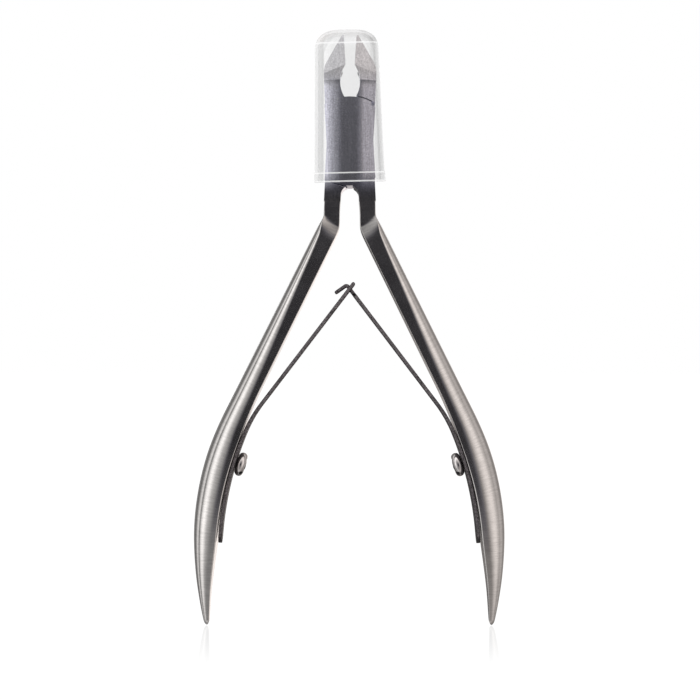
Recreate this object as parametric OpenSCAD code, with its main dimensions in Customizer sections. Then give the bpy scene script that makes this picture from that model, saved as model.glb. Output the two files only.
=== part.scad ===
// Cuticle nippers: two crossed halves on a lap joint, a hooked double leaf spring and a clear tip cap.
// The front of the nippers faces -Y and the jaws point up along +Z. Z is 0 at the ends of the handles,
// and X and Y are 0 at the pivot. The modules draw round the pivot's centre, and pivot_z lifts them.
// Each half is drawn in its closed position, then turned half of open_angle to where the springs hold it.

/* [Joint] */
// Thickness of the joint from front to back
joint_t = 6; // [5.6:0.2:6.4]
// Radius of the two lap plates about the pivot
lap_r = 7.65; // [7.5:0.05:7.8]
// Half the width of the joint across its flat sides
joint_half_w = 4.02; // [3.96:0.02:4.06]
// Angle between the halves when the springs hold them open
open_angle = 6.6; // [6:0.2:6.8]
// Gap between the two lap faces
lap_gap = 0.04; // [0.02:0.01:0.06]
// Gap between a lap plate's rim and the shoulder round it
rim_gap = 0.2; // [0.15:0.05:0.25]

/* [Jaws] */
// Height of the jaw tips above the pivot
tip_z = 18.7; // [18.6:0.1:19]
// Length of the cutting edge
blade_len = 5.4; // [5:0.1:5.8]
// Height where the jaws start to narrow
jaw_shoulder_z = 11.7; // [11.5:0.1:11.9]
// Angle of the jaws' outer edges from the vertical
jaw_taper = 31; // [30:1:32]
// Depth of the relief hollow between the jaws, measured in one jaw
throat_depth = 1.11; // [1:0.01:1.3]
// Gap between the blades when the jaws are shut
blade_gap = 0.04; // [0.02:0.01:0.08]

/* [Handles] */
// Width of the neck where a handle leaves the joint
neck_w = 2.86; // [2.8:0.02:3]
// Widest part of a handle, from front to back
handle_w = 8.4; // [8:0.1:8.8]
// Thickest part of a handle, across its flat inner face
handle_t = 4.22; // [4.1:0.02:4.3]

/* [Springs] */
// Thickness of a leaf spring
leaf_t = 0.62; // [0.55:0.01:0.68]
// Width of a leaf spring at its screw
leaf_w = 5; // [4.6:0.1:5.4]
// Width of the hooked tongue
tongue_w = 2; // [1.8:0.1:2.1]
// Diameter of a spring screw's head
screw_head_d = 4.2; // [4:0.1:4.4]
// Height of a spring screw's head
screw_head_h = 1.65; // [1.6:0.05:1.8]

/* [Tip cap] */
// Width of the cap at its open end
cap_w = 12.1; // [12:0.1:12.4]
// Depth of the cap from front to back
cap_d = 8.4; // [8.2:0.1:8.8]
// Height of the cap
cap_h = 26.5; // [26.3:0.1:27]
// Thickness of the cap's wall
cap_wall = 0.5; // [0.45:0.05:0.55]

/* [Hidden] */
$fn = 64;
big = 60;

half_angle = open_angle / 2;
face_y = joint_t / 2;
// Height of the pivot above the ends of the handles.
pivot_z = 83.46;

// Blade and throat, in the closed position.
blade_x = blade_gap / 2;
heel_z = tip_z - blade_len;
throat_rise = 3.25;
throat_z = heel_z - throat_rise;
throat_r = (pow(throat_rise, 2) + pow(throat_depth, 2)) / (2 * throat_depth);
jaw_shoulder_x = 3.84;
jaw_round_r = 4.5;
tip_flat = 0.33;
// Slopes of the ground faces, as depth lost for each millimetre of height.
front_bevel_z = 10.64;
front_bevel_slope = 0.25;
tip_bevel_slope = 0.36;
tip_bevel_fall = 0.04;
back_bevel_z = 8.6;
back_bevel_slope = 0.255;
hollow_r = 3.5;
hollow_depth = 0.95;
hollow_below = 3.2;
hollow_len = 12;
edge_land = 0.5;

// The handle's centre line, as lengths and turns, from the neck to the end.
neck_x = 2.43;
arch_r = 1.55;
neck_z = -9.5;
neck_top_z = -7;
flare_z = -3.5;
handle_start = [neck_x, neck_z, -0.1];
handle_path = [[3.2, 0], [2.6, 23.1], [35.4, 0], [22.6, -24], [14.9, -7.7]];
handle_len = 78.7;
// Distance along the handle, thickness, width, and the flat edge as a share of the thickness.
handle_rows = [
    [0, neck_w - 0.04, joint_t - 0.04, 0.97],
    [3.4, neck_w, joint_t - 0.04, 0.97],
    [5.4, 3.58, joint_t + 0.4, 0.84],
    [7.6, 3.69, joint_t + 0.8, 0.69],
    [16, 3.72, 6.9, 0.55],
    [30, 3.81, 7.4, 0.34],
    [42, 3.94, 8, 0.21],
    [50, handle_t, handle_w, 0.12],
    [58, 4.07, 8.1, 0.08],
    [64, 3.68, 7, 0.13],
    [70, 2.83, 5.1, 0.22],
    [75, 1.75, 3.1, 0.26],
    [77.5, 1.12, 1.9, 0.27],
    [handle_len, 0.78, 1.3, 0.28]
];
handle_stations = 44;
crown_steps = 10;
inner_round = 0.12;

// The leaf spring's centre line, from where the two leaves cross down to the tail.
cross_z = -25.25;
leaf_lean = 37.3;
leaf_start = [0, cross_z, leaf_lean];
leaf_path = [[24.95, 0], [5.9, -14.8], [19.6, -19.7]];
leaf_len = 50.45;
leaf_steps = 28;
leaf_top = 1.3;
leaf_top_w = 4.2;
leaf_tail_w = 4;
slot_w = tongue_w + 0.4;
slot_above = 0.75;
slot_below = 1.25;
// The hook on the right leaf, from the crossing upwards.
hook_start = [0, cross_z, leaf_lean + 180];
hook_path = [[0.45, 0], [0.6, 88], [2.1, 0]];
hook_len = 3.15;
hook_steps = 12;
shoulder_drop = 0.95;

// The spring screws.
screw_s = 36.25;
screw_r = 0.95;
screw_depth = 3.3;
screw_clear = 0.03;
leaf_hole_r = 1.15;
head_clear = 0.12;
pad_r = 1.9;
pad_clear = 0.1;
pad_h = 1.5;
screw_rim_r = 0.75;
// Where the round rim of the head meets its crown.
rim_top = 56;
rim_step = 14;
screw_slot_w = 0.6;
screw_slot_d = 0.6;
screw_turn = 45;

// The pivot screw.
pivot_r = 1.6;
pivot_clear = 0.04;
thread_r = 1.2;
thread_depth = 2.1;
head_r = 2.6;
head_h = 1.1;
pivot_slot_w = 0.55;
pivot_slot_d = 0.55;

// The cap.
cap_z = -7.15;
cap_lean = 1.4;
cap_draft = 0.66;
cap_round = 3.4;
cap_edge_round = 1.6;
cap_top_round = 2.7;
cap_top_wall = 0.5;

// Where a walk of length len that turns by turn degrees ends. A pose is [x, z, heading],
// and a heading is the angle from -Z towards +X.
function walk(pose, len, turn) =
    abs(turn) < 0.001
    ? [pose[0] + len * sin(pose[2]), pose[1] - len * cos(pose[2]), pose[2]]
    : let (r = len / turn * 180 / PI, h = pose[2] + turn)
        [pose[0] + r * (cos(pose[2]) - cos(h)), pose[1] - r * (sin(h) - sin(pose[2])), h];

// The pose at distance s along a path of [length, turn] steps.
function along(pose, path, s, i = 0) =
    i == len(path) - 1 || s <= path[i][0]
    ? walk(pose, s, path[i][1] * s / path[i][0])
    : along(walk(pose, path[i][0], path[i][1]), path, s - path[i][0], i + 1);

// A smooth curve through column c of rows, at distance s.
function row_before(rows, s, i = 0) =
    i == len(rows) - 2 || s < rows[i + 1][0] ? i : row_before(rows, s, i + 1);
function row_slope(rows, i, c) =
    let (a = rows[max(i - 1, 0)], b = rows[min(i + 1, len(rows) - 1)]) (b[c] - a[c]) / (b[0] - a[0]);
function smooth(rows, s, c) =
    let (
        i = row_before(rows, s),
        a = rows[i],
        b = rows[i + 1],
        span = b[0] - a[0],
        t = (s - a[0]) / span
    )
    (2 * t * t * t - 3 * t * t + 1) * a[c] + (t * t * t - 2 * t * t + t) * span * row_slope(rows, i, c)
    + (3 * t * t - 2 * t * t * t) * b[c] + (t * t * t - t * t) * span * row_slope(rows, i + 1, c);

// A handle's cross-section: flat on the inside, a flat edge front and back, and an oval outside.
function section(t, w, land) =
    let (r = min(inner_round, t / 5), edge = max(t * land, r * 1.2))
    concat(
        [[-t / 2, r - w / 2], [r - t / 2, -w / 2]],
        [
            for (i = [0 : crown_steps])
                let (a = 180 * i / crown_steps - 90)
                [edge - t / 2 + (t - edge) * cos(a), w / 2 * sin(a)]
        ],
        [[r - t / 2, w / 2], [-t / 2, w / 2 - r]]
    );

function handle_ring(s) =
    let (
        p = along(handle_start, handle_path, s),
        ring = section(smooth(handle_rows, s, 1), smooth(handle_rows, s, 2), smooth(handle_rows, s, 3))
    )
    [for (q = ring) [p[0] + q[0] * cos(p[2]), q[1], p[1] + q[0] * sin(p[2])]];

// Stations crowd towards the neck's bend and the handle's end.
function station(i) =
    let (t = i / handle_stations) handle_len * (t - 0.06 * sin(360 * t));

module handle() {
    rings = [for (i = [0 : handle_stations]) handle_ring(station(i))];
    n = len(rings[0]);
    sides = [
        for (i = [0 : handle_stations - 1], j = [0 : n - 1])
            let (k = (j + 1) % n)
            for (f = [
                [i * n + j, i * n + k, (i + 1) * n + k],
                [i * n + j, (i + 1) * n + k, (i + 1) * n + j]
            ]) f
    ];
    ends = [[for (j = [n - 1 : -1 : 0]) j], [for (j = [0 : n - 1]) handle_stations * n + j]];
    polyhedron([for (ring = rings) for (p = ring) p], concat(sides, ends));
}

// A flat outline drawn in X and Z, given depth from y0 to y1.
module plate(y0, y1) {
    translate([0, y1, 0]) rotate([90, 0, 0]) linear_extrude(y1 - y0) children();
}

// A cylinder along Y from y0 to y1.
module bar(r, y0, y1) {
    translate([0, y1, 0]) rotate([90, 0, 0]) cylinder(r = r, h = y1 - y0);
}

module jaw_outline() {
    slant = [for (i = [0 : 6]) let (a = jaw_taper * i / 6)
        [jaw_round_r * (1 - cos(a)) - jaw_shoulder_x, jaw_shoulder_z + jaw_round_r * sin(a)]];
    difference() {
        polygon(concat(
            [[-blade_x, 0], [-joint_half_w, 0]],
            slant,
            [[-tip_flat - blade_x, tip_z - 0.05], [-blade_x, tip_z]]
        ));
        translate([throat_r - throat_depth - blade_x, throat_z]) circle(r = throat_r);
    }
}

module neck_outline() {
    inner_x = neck_x - neck_w / 2;
    outer_x = neck_x + neck_w / 2;
    polygon([[blade_x, 0], [joint_half_w - 0.1, 0], [outer_x + 0.05, flare_z], [outer_x, neck_z - 1],
        [inner_x, neck_z - 1], [inner_x, neck_top_z], [blade_x, neck_top_z]]);
    difference() {
        translate([blade_x, -lap_r - arch_r]) square([inner_x, arch_r + 0.6]);
        translate([inner_x - arch_r, -lap_r - arch_r]) circle(r = arch_r);
    }
}

module head_outline() {
    intersection() {
        circle(r = lap_r);
        translate([-joint_half_w, -lap_r]) square([2 * joint_half_w, 2 * lap_r]);
    }
    jaw_outline();
    neck_outline();
}

// Everything in front of a face that starts at height z and leans back by slope, and sideways by fall.
module ground_face(z, slope, fall) {
    translate([0, -face_y, z])
        rotate([-atan(slope), 0, -atan(fall)])
            translate([-big / 2, -big, -big / 2]) cube([big, big, big]);
}

module jaw_grinding() {
    ground_face(front_bevel_z, front_bevel_slope, 0);
    tip_rise = heel_z - front_bevel_z;
    translate([0, tip_rise * (front_bevel_slope - tip_bevel_slope), 0])
        ground_face(front_bevel_z, tip_bevel_slope, tip_bevel_fall);
    rotate([0, 0, 180]) ground_face(back_bevel_z, back_bevel_slope, 0);
    // The hollow behind the cutting edge leans back with the tip.
    half_chord = sqrt(pow(hollow_r, 2) - pow(hollow_r - hollow_depth, 2));
    edge_y = -face_y + tip_rise * front_bevel_slope + edge_land;
    translate([hollow_r - hollow_depth - blade_x, edge_y + half_chord, heel_z])
        rotate([-atan(tip_bevel_slope), 0, 0])
            translate([0, 0, -hollow_below]) cylinder(r = hollow_r, h = hollow_len);
}

// A half with its jaw on the left and its handle on the right, shut, with its lap plate at the front.
// The grinding is turned back to front for the half that is swung round to the other side.
module half(swung) {
    difference() {
        union() {
            plate(-face_y, face_y) head_outline();
            handle();
        }
        bar(lap_r + rim_gap, -lap_gap / 2, big);
        mirror([0, swung ? 1 : 0, 0]) jaw_grinding();
    }
}

module spring_place(side) {
    p = along(leaf_start, leaf_path, screw_s);
    mirror([side < 0 ? 1 : 0, 0, 0])
        translate([p[0], 0, p[1]])
            rotate([0, -90 - p[2], 0]) children();
}

// A handle's flat seat under the spring, and its screw hole.
module with_spring_seat(side) {
    difference() {
        union() {
            children();
            spring_place(side) translate([0, 0, -leaf_t / 2 - pad_clear - pad_h])
                cylinder(r = pad_r, h = pad_h);
        }
        spring_place(side) translate([0, 0, -leaf_t / 2 - screw_depth - 0.2])
            cylinder(r = screw_r + screw_clear, h = screw_depth + 1);
    }
}

module front_half() {
    color("silver")
        difference() {
            with_spring_seat(1) rotate([0, -half_angle, 0]) half(false);
            bar(thread_r + screw_clear, -thread_depth - 0.1, 0.1);
        }
}

module back_half() {
    color("lightsteelblue")
        difference() {
            with_spring_seat(-1) rotate([0, half_angle, 0]) rotate([0, 0, 180]) half(true);
            bar(pivot_r + pivot_clear, -0.1, face_y + 0.1);
            rotate([-90, 0, 0]) translate([0, 0, face_y - head_h - 0.05])
                cylinder(r1 = pivot_r + pivot_clear, r2 = head_r + 0.1, h = head_h + 0.1);
        }
}

module pivot_screw() {
    color("gray")
        difference() {
            rotate([-90, 0, 0]) rotate_extrude()
                polygon([
                    [0, -thread_depth], [thread_r - 0.2, -thread_depth], [thread_r, 0.2 - thread_depth],
                    [thread_r, -lap_gap / 2], [pivot_r, -lap_gap / 2], [pivot_r, face_y - head_h],
                    [head_r, face_y - 0.03], [0, face_y - 0.03]
                ]);
            translate([-head_r - 1, face_y - pivot_slot_d, -pivot_slot_w / 2])
                cube([2 * head_r + 2, 1, pivot_slot_w]);
        }
}

// A strip of the leaf's thickness round a line of poses.
module strip(line) {
    polygon(concat(
        [for (p = line) [p[0] + leaf_t / 2 * cos(p[2]), p[1] + leaf_t / 2 * sin(p[2])]],
        [for (i = [len(line) - 1 : -1 : 0]) let (p = line[i])
            [p[0] - leaf_t / 2 * cos(p[2]), p[1] - leaf_t / 2 * sin(p[2])]]
    ));
}

// The leaf seen square-on to its width, with a rounded tail. Widths run down the leaf.
module leaf_shape(widths) {
    tail = along(leaf_start, leaf_path, leaf_len);
    tail_r = leaf_tail_w / 2;
    rows = concat(
        widths,
        [[along(leaf_start, leaf_path, screw_s)[1], leaf_w], [tail[1] + tail_r, leaf_tail_w]],
        [for (a = [15 : 15 : 75]) [tail[1] + tail_r * (1 - sin(a)), leaf_tail_w * cos(a)]],
        [[tail[1] - 0.5, leaf_tail_w * 0.2]]
    );
    translate([-big / 2, 0, 0]) rotate([90, 0, 90]) linear_extrude(big)
        polygon(concat(
            [for (r = rows) [r[1] / 2, r[0]]],
            [for (i = [len(rows) - 1 : -1 : 0]) [-rows[i][1] / 2, rows[i][0]]]
        ));
}

leaf_line = [for (i = [0 : leaf_steps]) along(leaf_start, leaf_path, leaf_len * i / leaf_steps)];

module leaf_screw_hole() {
    p = along(leaf_start, leaf_path, screw_s);
    translate([p[0], 0, p[1]]) rotate([0, -90 - p[2], 0])
        cylinder(r = leaf_hole_r, h = 4, center = true);
}

// The left leaf ends in a slot that the right leaf's tongue passes through.
module left_leaf_spring() {
    top = walk(leaf_start, -leaf_top, 0);
    color("dimgray") mirror([1, 0, 0])
        difference() {
            intersection() {
                plate(-leaf_w, leaf_w) strip(concat([top], leaf_line));
                leaf_shape([[top[1] + 1, leaf_top_w], [cross_z - 4, leaf_top_w]]);
            }
            leaf_screw_hole();
            translate([0, 0, cross_z]) rotate([0, -leaf_lean, 0])
                translate([-2, -slot_w / 2, -slot_below]) cube([4, slot_w, slot_above + slot_below]);
        }
}

module right_leaf_spring() {
    hook = [
        for (i = [hook_steps : -1 : 1])
            let (p = along(hook_start, hook_path, hook_len * i / hook_steps)) [p[0], p[1], p[2] - 180]
    ];
    shoulder_z = cross_z - shoulder_drop;
    color("dimgray")
        difference() {
            intersection() {
                plate(-leaf_w, leaf_w) strip(concat(hook, leaf_line));
                leaf_shape([
                    [cross_z + 3, tongue_w], [shoulder_z + 0.2, tongue_w], [shoulder_z - 0.6, leaf_top_w],
                    [cross_z - 4, leaf_top_w]
                ]);
            }
            leaf_screw_hole();
        }
}

// A slotted head with a full round rim, the shank through the leaf and the thread in the handle.
module spring_screw(side) {
    r = screw_head_d / 2;
    base = leaf_t / 2 + head_clear;
    rim = [
        for (a = [-70 : rim_step : rim_top])
            [r + screw_rim_r * (cos(a) - 1), base + screw_rim_r * (sin(a) + 1)]
    ];
    crown_r = rim[len(rim) - 1][0];
    crown_h = screw_head_h - screw_rim_r * (sin(rim_top) + 1);
    crown = [for (i = [1 : 4]) [crown_r * (1 - i / 4), base + screw_head_h - crown_h * pow(1 - i / 4, 2)]];
    color("gainsboro") spring_place(side)
        difference() {
            rotate_extrude()
                polygon(concat(
                    [[0, -leaf_t / 2 - screw_depth], [screw_r - 0.2, -leaf_t / 2 - screw_depth],
                        [screw_r, 0.2 - leaf_t / 2 - screw_depth], [screw_r, base + 0.04]],
                    rim,
                    crown
                ));
            rotate([0, 0, -screw_turn])
                translate([-screw_slot_w / 2, -r - 1, base + screw_head_h - screw_slot_d])
                    cube([screw_slot_w, 2 * r + 2, 2]);
        }
}

// A wall outline narrowing by draft on each side towards a rounded top.
module cap_outline(half_w, draft, top, r, bottom) {
    narrow = half_w - draft;
    polygon(concat(
        [[-half_w, bottom], [half_w, bottom]],
        [for (a = [0 : 15 : 90]) [narrow - r + r * cos(a), top - r + r * sin(a)]],
        [for (a = [90 : 15 : 180]) [r - narrow + r * cos(a), top - r + r * sin(a)]]
    ));
}

// The cap's outside, or its hollow when the sizes are drawn in by inset.
module cap_body(inset, top_inset, bottom) {
    half_d = cap_d / 2 - inset;
    half_w = cap_w / 2 - inset;
    top = cap_z + cap_h - top_inset;
    r = cap_edge_round - inset;
    intersection() {
        plate(-half_d, half_d) cap_outline(half_w, cap_draft, top, cap_round - inset, bottom);
        translate([-big / 2, 0, 0]) rotate([90, 0, 90]) linear_extrude(big)
            cap_outline(half_d, 0, top, cap_top_round - inset, bottom);
        translate([0, 0, -big / 2]) linear_extrude(big)
            union() {
                square([2 * (half_w - r), 2 * half_d], center = true);
                square([2 * half_w, 2 * (half_d - r)], center = true);
                for (x = [-1, 1], y = [-1, 1]) translate([x * (half_w - r), y * (half_d - r)]) circle(r = r);
            }
    }
}

// The cap leans a little to the left on the jaws.
module tip_cap() {
    color([0.85, 0.88, 0.9, 0.4])
        translate([0, 0, cap_z]) rotate([0, -cap_lean, 0]) translate([0, 0, -cap_z])
            difference() {
                cap_body(0, 0, cap_z);
                cap_body(cap_wall, cap_top_wall, cap_z - 1);
            }
}

module lifted() {
    translate([0, 0, pivot_z]) children();
}

lifted() front_half();
lifted() back_half();
lifted() pivot_screw();
lifted() left_leaf_spring();
lifted() right_leaf_spring();
lifted() spring_screw(-1);  // left_spring_screw
lifted() spring_screw(1);  // right_spring_screw
lifted() tip_cap();
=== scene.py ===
"""Cuticle nippers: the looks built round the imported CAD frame.

Sizes in the functions are in millimetres round the pivot's centre, and place() turns them into the frame.
"""

import math

import bmesh
import bpy
from mathutils import Matrix, Vector


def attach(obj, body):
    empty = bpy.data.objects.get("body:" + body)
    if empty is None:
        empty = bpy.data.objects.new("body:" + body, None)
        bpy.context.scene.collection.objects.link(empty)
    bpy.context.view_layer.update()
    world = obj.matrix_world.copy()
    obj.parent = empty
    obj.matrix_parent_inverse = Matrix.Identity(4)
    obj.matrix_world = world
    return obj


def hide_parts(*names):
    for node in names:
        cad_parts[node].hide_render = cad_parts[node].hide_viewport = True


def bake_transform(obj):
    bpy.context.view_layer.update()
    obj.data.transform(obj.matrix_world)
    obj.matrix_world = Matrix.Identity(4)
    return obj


MM = 0.001
PIVOT_Z = 83.46
HALF_OPEN = 3.3

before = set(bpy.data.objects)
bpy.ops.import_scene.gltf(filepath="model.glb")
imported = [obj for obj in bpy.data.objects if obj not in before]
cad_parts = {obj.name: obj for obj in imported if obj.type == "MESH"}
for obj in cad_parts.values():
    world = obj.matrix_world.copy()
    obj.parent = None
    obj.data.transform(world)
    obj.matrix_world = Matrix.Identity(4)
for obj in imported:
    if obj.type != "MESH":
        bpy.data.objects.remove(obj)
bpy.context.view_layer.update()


# ---------------------------------------------------------------- paths and rows


def walk(pose, length, turn):
    """Where a walk that turns by turn degrees ends. A pose is (x, z, heading from -Z towards +X)."""
    x, z, heading = pose
    a = math.radians(heading)
    b = math.radians(heading + turn)
    if abs(turn) < 0.001:
        return (x + length * math.sin(a), z - length * math.cos(a), heading)
    r = length / math.radians(turn)
    return (x + r * (math.cos(a) - math.cos(b)), z - r * (math.sin(b) - math.sin(a)), heading + turn)


def along(pose, path, s):
    """The pose at distance s along a path of (length, turn) steps."""
    for length, turn in path[:-1]:
        if s <= length:
            return walk(pose, s, turn * s / length)
        pose = walk(pose, length, turn)
        s -= length
    length, turn = path[-1]
    return walk(pose, s, turn * s / length)


def smooth(rows, s, column):
    """A smooth curve through one column of rows, at distance s."""
    last = len(rows) - 1
    i = 0
    while i < last - 1 and s >= rows[i + 1][0]:
        i += 1

    def slope(k):
        a = rows[max(k - 1, 0)]
        b = rows[min(k + 1, last)]
        return (b[column] - a[column]) / (b[0] - a[0])

    a = rows[i]
    b = rows[i + 1]
    span = b[0] - a[0]
    t = (s - a[0]) / span
    ends = (2 * t**3 - 3 * t**2 + 1) * a[column] + (3 * t**2 - 2 * t**3) * b[column]
    return ends + span * ((t**3 - 2 * t**2 + t) * slope(i) + (t**3 - t**2) * slope(i + 1))


def ease(a, b, x):
    """0 before a, 1 after b and a smooth step between."""
    t = min(max((x - a) / (b - a), 0), 1)
    return t * t * (3 - 2 * t)


def spread(start, end, step):
    """Even distances from start to end, about step apart."""
    n = max(1, round((end - start) / step))
    return [start + (end - start) * i / n for i in range(n + 1)]


def place(x, y, z, side=0):
    """A point into the frame. A side of 1 or -1 first opens the front or the back half."""
    if side < 0:
        x, y = -x, -y
    a = math.radians(-HALF_OPEN * side)
    return Vector((
        x * math.cos(a) + z * math.sin(a),
        y,
        z * math.cos(a) - x * math.sin(a) + PIVOT_Z,
    )) * MM


# ---------------------------------------------------------------- meshes


def add_rings(bm, rings, lays=None, uvs=None, slots=None):
    """Closed rings of points joined into a tube with both ends filled. uvs holds (u, v) for each point,
    and slots the material slot of each band."""
    lay = bm.verts.layers.float_vector.get("lay") or bm.verts.layers.float_vector.new("lay")
    uv = bm.loops.layers.uv.get("run") or bm.loops.layers.uv.new("run")
    rows = []
    for i, ring in enumerate(rings):
        row = [bm.verts.new(p) for p in ring]
        for v in row:
            v[lay] = lays[i] if lays else Vector((0, 0, 1))
        rows.append(row)
    n = len(rows[0])
    for i in range(len(rows) - 1):
        for j in range(n):
            k = (j + 1) % n
            face = bm.faces.new((rows[i][j], rows[i][k], rows[i + 1][k], rows[i + 1][j]))
            face.material_index = slots[i] if slots else 0
            face.smooth = True
            if uvs:
                corners = ((i, j), (i, j + 1), (i + 1, j + 1), (i + 1, j))
                for loop, (a, b) in zip(face.loops, corners):
                    loop[uv].uv = uvs[a][b]
    for row in (rows[0], rows[-1]):
        face = bm.faces.new(row if row is rows[-1] else row[::-1])
        face.smooth = True


def new_piece(name, bm, *materials):
    """An object in the scene from bm, which is freed."""
    mesh = bpy.data.meshes.new(name)
    bmesh.ops.recalc_face_normals(bm, faces=bm.faces)
    bm.to_mesh(mesh)
    bm.free()
    obj = bpy.data.objects.new(name, mesh)
    bpy.context.scene.collection.objects.link(obj)
    for material in materials:
        mesh.materials.append(material)
    return obj


def weigh_normals(obj):
    """Shades wide faces as they lie, and turns the light over the narrow ones between."""
    modifier = obj.modifiers.new("weighted normals", "WEIGHTED_NORMAL")
    modifier.weight = 90
    modifier.keep_sharp = True


def cut_away(obj, cutter):
    """Takes cutter's shape out of obj and deletes cutter."""
    modifier = obj.modifiers.new("cut", "BOOLEAN")
    modifier.operation = "DIFFERENCE"
    modifier.solver = "EXACT"
    modifier.object = cutter
    bpy.context.view_layer.update()
    graph = bpy.context.evaluated_depsgraph_get()
    cut = obj.evaluated_get(graph)
    mesh = bpy.data.meshes.new_from_object(cut, preserve_all_data_layers=True, depsgraph=graph)
    obj.modifiers.remove(modifier)
    obj.data = mesh
    bpy.data.objects.remove(cutter)


def box_cutter(size, matrix, slot=0):
    """A box of the given size, centred on its matrix. Its cuts take the material in the given slot."""
    bm = bmesh.new()
    bmesh.ops.create_cube(bm, size=1)
    for face in bm.faces:
        face.material_index = slot
    bmesh.ops.scale(bm, vec=[s * MM for s in size], verts=bm.verts)
    bmesh.ops.transform(bm, matrix=matrix, verts=bm.verts)
    return new_piece("cutter", bm)


# ---------------------------------------------------------------- materials

STEEL = (0.88, 0.875, 0.87)
PLATE = (0.81, 0.83, 0.965)
JAWS = (0.8, 0.815, 0.86)
# Most of a noise texture's values lie in this range.
NOISE_RANGE = (0.3, 0.7)


class Nodes:
    """A short way to write a node tree."""

    def __init__(self, tree):
        self.tree = tree
        tree.nodes.clear()

    def add(self, kind, links=None, **settings):
        node = self.tree.nodes.new(kind)
        for key, value in settings.items():
            setattr(node, key, value)
        for key, value in (links or {}).items():
            socket = node.inputs[key]
            if isinstance(value, bpy.types.NodeSocket):
                self.tree.links.new(value, socket)
            else:
                socket.default_value = value
        return node

    def math(self, operation, a, b=0.0, clamp=False):
        return self.add("ShaderNodeMath", {0: a, 1: b}, operation=operation, use_clamp=clamp).outputs[0]

    def vmath(self, operation, a, b=(0, 0, 0)):
        node = self.add("ShaderNodeVectorMath", {0: a, 1: b}, operation=operation)
        return node.outputs["Value" if operation == "LENGTH" else "Vector"]

    def place_at(self):
        """Where the shaded point is on its own object, in metres. Noise scales are per metre too."""
        return self.add("ShaderNodeTexCoord").outputs["Object"]

    def normal(self):
        return self.add("ShaderNodeNewGeometry").outputs["Normal"]

    def part(self, vector, axis):
        return self.add("ShaderNodeSeparateXYZ", {0: vector}).outputs[axis]

    def absolute(self, value):
        return self.math("ABSOLUTE", value)

    def scaled(self, vector, *factors):
        return self.vmath("MULTIPLY", vector, factors)

    def noise(self, vector, scale, detail=3.0, roughness=0.5):
        links = {"Vector": vector, "Scale": scale, "Detail": detail, "Roughness": roughness}
        return self.add("ShaderNodeTexNoise", links).outputs["Fac"]

    def ramp(self, value, stops):
        """A colour ramp through (position, grey or colour) stops."""
        node = self.add("ShaderNodeValToRGB", {"Fac": value})
        ramp = node.color_ramp
        while len(ramp.elements) < len(stops):
            ramp.elements.new(0.5)
        for element, (position, colour) in zip(ramp.elements, stops):
            element.position = position
            element.color = (colour, colour, colour, 1) if isinstance(colour, float) else (*colour, 1)
        return node.outputs["Color"]

    def remap(self, value, from_min, from_max, to_min=0.0, to_max=1.0, **settings):
        """Maps one range onto another, and holds the value at the ends."""
        links = {"Value": value, "From Min": from_min, "From Max": from_max}
        links.update({"To Min": to_min, "To Max": to_max})
        return self.add("ShaderNodeMapRange", links, **settings).outputs["Result"]

    def spread_range(self, value, low, high):
        """Maps noise from its usual range onto low to high."""
        return self.remap(value, *NOISE_RANGE, low, high)

    def mix(self, factor, a, b):
        """A mixture of two colours, all a at factor 0 and all b at 1."""
        node = self.add("ShaderNodeMix", {"Factor": factor, "A": a, "B": b}, data_type="RGBA")
        return node.outputs["Result"]

    def tint(self, colour, factor):
        return self.vmath("MULTIPLY", factor, colour)

    def bump(self, height, strength, distance, normal=None):
        links = {"Height": height, "Strength": strength, "Distance": distance}
        if normal:
            links["Normal"] = normal
        return self.add("ShaderNodeBump", links).outputs["Normal"]

    def surface(self, links):
        shader = self.add("ShaderNodeBsdfPrincipled", links)
        self.add("ShaderNodeOutputMaterial", {"Surface": shader.outputs[0]})
        return shader


def new_material(name):
    material = bpy.data.materials.new(name)
    material.use_nodes = True
    return material, Nodes(material.node_tree)


def handle_steel():
    """Forged handles finished across their length on a belt, so that highlights run along them."""
    material, n = new_material("handle_steel")
    run = n.add("ShaderNodeUVMap", uv_map="run").outputs[0]
    lay = n.add("ShaderNodeAttribute", attribute_name="lay").outputs["Vector"]
    lines = n.noise(n.scaled(run, 300, 8, 1), 1.0, 5.0, 0.7)
    cloud = n.noise(n.place_at(), 260.0, 3.0)
    shade = n.math("MULTIPLY", n.spread_range(lines, 0.81, 1.08), n.spread_range(cloud, 0.95, 1.02))
    n.surface({
        "Base Color": n.tint(STEEL, shade),
        "Metallic": 1.0,
        "Roughness": n.spread_range(cloud, 0.12, 0.16),
        "Anisotropic": 0.5,
        "Tangent": lay,
        "Normal": n.bump(lines, 0.15, 0.00002),
    })
    return material


def plate_lean(n, at_x, height, normal):
    """How far the front and back normals lean sideways, as the ground plate falls away towards its sides."""
    lean = n.math(
        "ADD",
        n.remap(at_x, -4.3 * MM, -1.1 * MM, -0.56, 0.0),
        n.remap(at_x, 0.9 * MM, 2.4 * MM, 0.0, 0.29),
    )
    facing = n.math("POWER", n.absolute(n.part(normal, "Y")), 6.0)
    below = n.remap(height, -9 * MM, -5 * MM)
    above = n.remap(height, 9.5 * MM, 11 * MM, 1.0, 0.25)
    return n.math("MULTIPLY", n.math("MULTIPLY", lean, n.math("MULTIPLY", facing, below)), above)


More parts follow.
